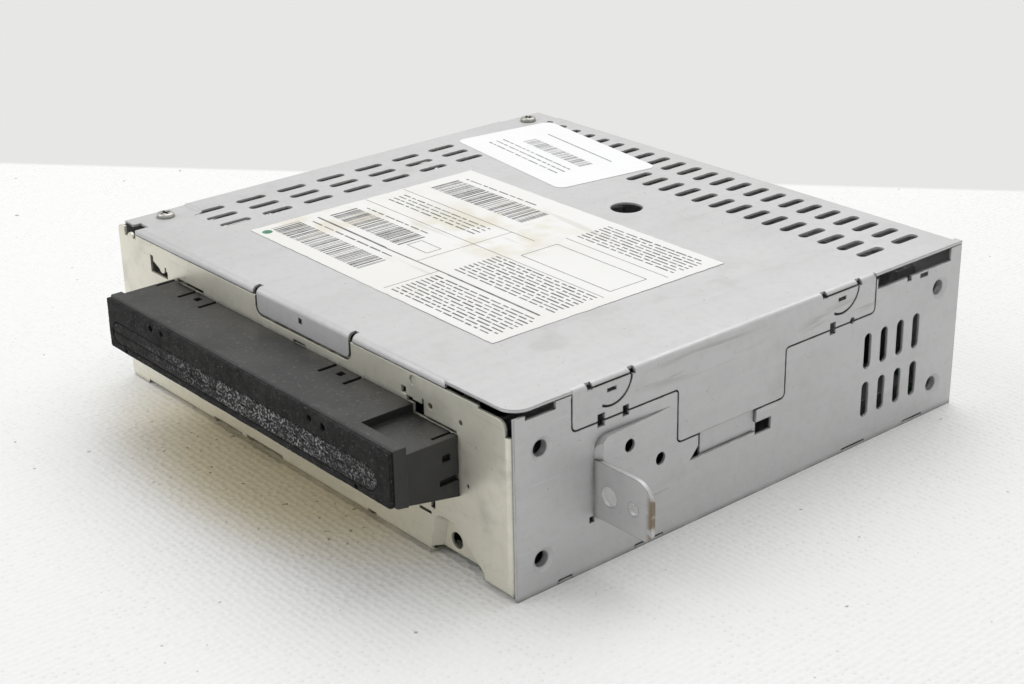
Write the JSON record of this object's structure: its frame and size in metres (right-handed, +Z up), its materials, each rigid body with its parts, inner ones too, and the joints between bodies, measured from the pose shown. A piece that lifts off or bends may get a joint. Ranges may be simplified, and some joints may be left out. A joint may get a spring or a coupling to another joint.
{
  "type": "slot-loading car disc player",
  "caption": "Dashboard-size sheet-metal disc player with a vented cover, black front slot bezel, side mounting ears and a sprung loading mechanism inside.",
  "frame": {"origin": "centre of the case's flat underside", "axes": "+X to the right seen from the slot, +Y from the slot to the rear, +Z up"},
  "size_m": [0.2168, 0.1847, 0.0499],
  "materials": {
    "case_steel": "zinc-plated sheet steel, satin",
    "front_steel": "zinc-plated sheet steel, warmer and smoother",
    "black_plastic": "fine-grained moulded plastic",
    "gasket_foam": "closed foam",
    "felt": "dusty dark felt",
    "label_film": "stained matt film",
    "sticker_paper": "bright white coated paper",
    "screw_steel": "bright zinc",
    "inner_steel": "bare plated steel",
    "rubber": "soft rubber",
    "roller_rubber": "matt rubber",
    "spring_steel": "spring wire",
    "board_green": "solder-masked laminate",
    "chip_black": "moulded epoxy",
    "capacitor_sleeve": "shrunk sleeve",
    "sink_aluminium": "extruded, unpolished",
    "connector_plastic": "moulded plastic",
    "contact_tin": "tinned",
    "white_plastic": "moulded acetal",
    "ribbon_film": "flat cable film",
    "motor_steel": "drawn can",
    "turntable_plastic": "moulded plastic",
    "sled_plastic": "filled plastic",
    "lens_glass": "coated lens"
  },
  "bodies": {
    "case": {"side_frame_right": "case_steel", "side_frame_left": "case_steel", "rear_panel": "case_steel", "top_cover": "case_steel", "front_plate": "front_steel", "bottom_cover": "case_steel", "slot_bezel": "black_plastic", "slot_gasket": "gasket_foam", "felt_lip_upper": "felt", "felt_lip_lower": "felt", "rating_label": "label_film", "stock_sticker": "sticker_paper", "cover_screws": "screw_steel", "mech_rail_left": "inner_steel", "mech_rail_right": "inner_steel", "damper_bushes": "rubber", "suspension_springs": "spring_steel", "main_board": "board_green", "board_screws": "screw_steel", "signal_chips": "chip_black", "capacitors": "capacitor_sleeve", "heat_sink": "sink_aluminium", "amplifier_chip": "chip_black", "main_connector": "connector_plastic", "aux_connector": "connector_plastic", "connector_contacts": "contact_tin", "deck_ribbon": "ribbon_film", "ribbon_socket": "white_plastic"},
    "deck": {"float_deck": "inner_steel", "disc_guide": "black_plastic", "spindle_motor": "motor_steel", "guide_rods": "spring_steel", "feed_motor": "motor_steel", "loading_motor": "motor_steel"},
    "roller_arm": {"roller_arm": "inner_steel"},
    "roller": {"roller_shaft": "spring_steel", "roller_sleeves": "roller_rubber", "roller_gear": "white_plastic"},
    "idler": {"idler_gear": "white_plastic"},
    "reduction": {"reduction_gear": "white_plastic"},
    "motor_pinion": {"motor_pinion": "white_plastic"},
    "turntable": {"turntable": "turntable_plastic"},
    "clamp": {"clamp_arm": "inner_steel"},
    "clamper": {"clamper": "white_plastic", "clamper_pad": "rubber"},
    "sled": {"pickup_sled": "sled_plastic", "lens_cover": "white_plastic", "objective_lens": "lens_glass"},
    "lead_screw": {"lead_screw": "white_plastic"},
    "slider": {"shift_slider": "inner_steel"},
    "lever_left": {"detect_lever_left": "white_plastic"},
    "lever_right": {"detect_lever_right": "white_plastic"}
  },
  "joints": [
    {"name": "deck_float", "type": "slide", "parent": "case", "child": "deck", "axis": [0, 0, 1], "range_m": [-0.001, 0.001], "stiffness_N_per_m": 4800, "springref_m": 0.00042, "deforming": ["suspension_springs", "deck_ribbon"]},
    {"name": "roller_tilt", "type": "hinge", "parent": "deck", "child": "roller_arm", "pos_m": [0.00235, -0.06, 0.0207], "axis": [1, 0, 0], "range_deg": [0, 14]},
    {"name": "roller_spin", "type": "hinge", "parent": "roller_arm", "child": "roller", "pos_m": [0.00235, -0.072, 0.0247], "axis": [1, 0, 0], "continuous": true},
    {"name": "idler_spin", "type": "hinge", "parent": "deck", "child": "idler", "pos_m": [-0.06355, -0.068, 0.0367], "axis": [1, 0, 0], "continuous": true},
    {"name": "reduction_spin", "type": "hinge", "parent": "deck", "child": "reduction", "pos_m": [-0.06455, -0.057, 0.0367], "axis": [1, 0, 0], "continuous": true},
    {"name": "motor_spin", "type": "hinge", "parent": "deck", "child": "motor_pinion", "pos_m": [-0.06455, -0.04834, 0.0417], "axis": [1, 0, 0], "continuous": true},
    {"name": "disc_spin", "type": "hinge", "parent": "deck", "child": "turntable", "pos_m": [0.00235, -0.01, 0.024], "axis": [0, 0, 1], "continuous": true},
    {"name": "clamp_swing", "type": "hinge", "parent": "deck", "child": "clamp", "pos_m": [0.00235, 0.058, 0.0329], "axis": [1, 0, 0], "range_deg": [0, 5.5]},
    {"name": "clamper_spin", "type": "hinge", "parent": "clamp", "child": "clamper", "pos_m": [0.00235, -0.00969, 0.03942], "axis": [0, 0.0958, 0.9954], "continuous": true},
    {"name": "sled_feed", "type": "slide", "parent": "deck", "child": "sled", "axis": [0, 1, 0], "range_m": [0, 0.034]},
    {"name": "screw_turn", "type": "hinge", "parent": "deck", "child": "lead_screw", "pos_m": [0.02935, 0.034, 0.0213], "axis": [0, 1, 0], "range_deg": [-10, 4100]},
    {"name": "shift_slide", "type": "slide", "parent": "deck", "child": "slider", "axis": [0, 1, 0], "range_m": [0, 0.01]},
    {"name": "lever_left_swing", "type": "hinge", "parent": "deck", "child": "lever_left", "pos_m": [-0.04165, -0.053, 0.0331], "axis": [0, 0, 1], "range_deg": [-56, 0], "stiffness_Nm_per_rad": 0.004, "springref_deg": 5.73},
    {"name": "lever_right_swing", "type": "hinge", "parent": "deck", "child": "lever_right", "pos_m": [0.04635, -0.053, 0.0331], "axis": [0, 0, 1], "range_deg": [0, 56]}
  ],
  "couplings": [
    {"joint": "idler_spin", "follows": "roller_spin", "ratio": -0.64286},
    {"joint": "reduction_spin", "follows": "roller_spin", "ratio": 1.5},
    {"joint": "motor_spin", "follows": "roller_spin", "ratio": -4.5},
    {"joint": "clamper_spin", "follows": "disc_spin", "ratio": 1},
    {"joint": "screw_turn", "follows": "sled_feed", "rad_per_m": 2094.4},
    {"joint": "roller_tilt", "follows": "clamp_swing", "ratio": 2.5455},
    {"joint": "shift_slide", "follows": "clamp_swing", "m_per_rad": 0.10417},
    {"joint": "lever_right_swing", "follows": "lever_left_swing", "ratio": -1}
  ]
}
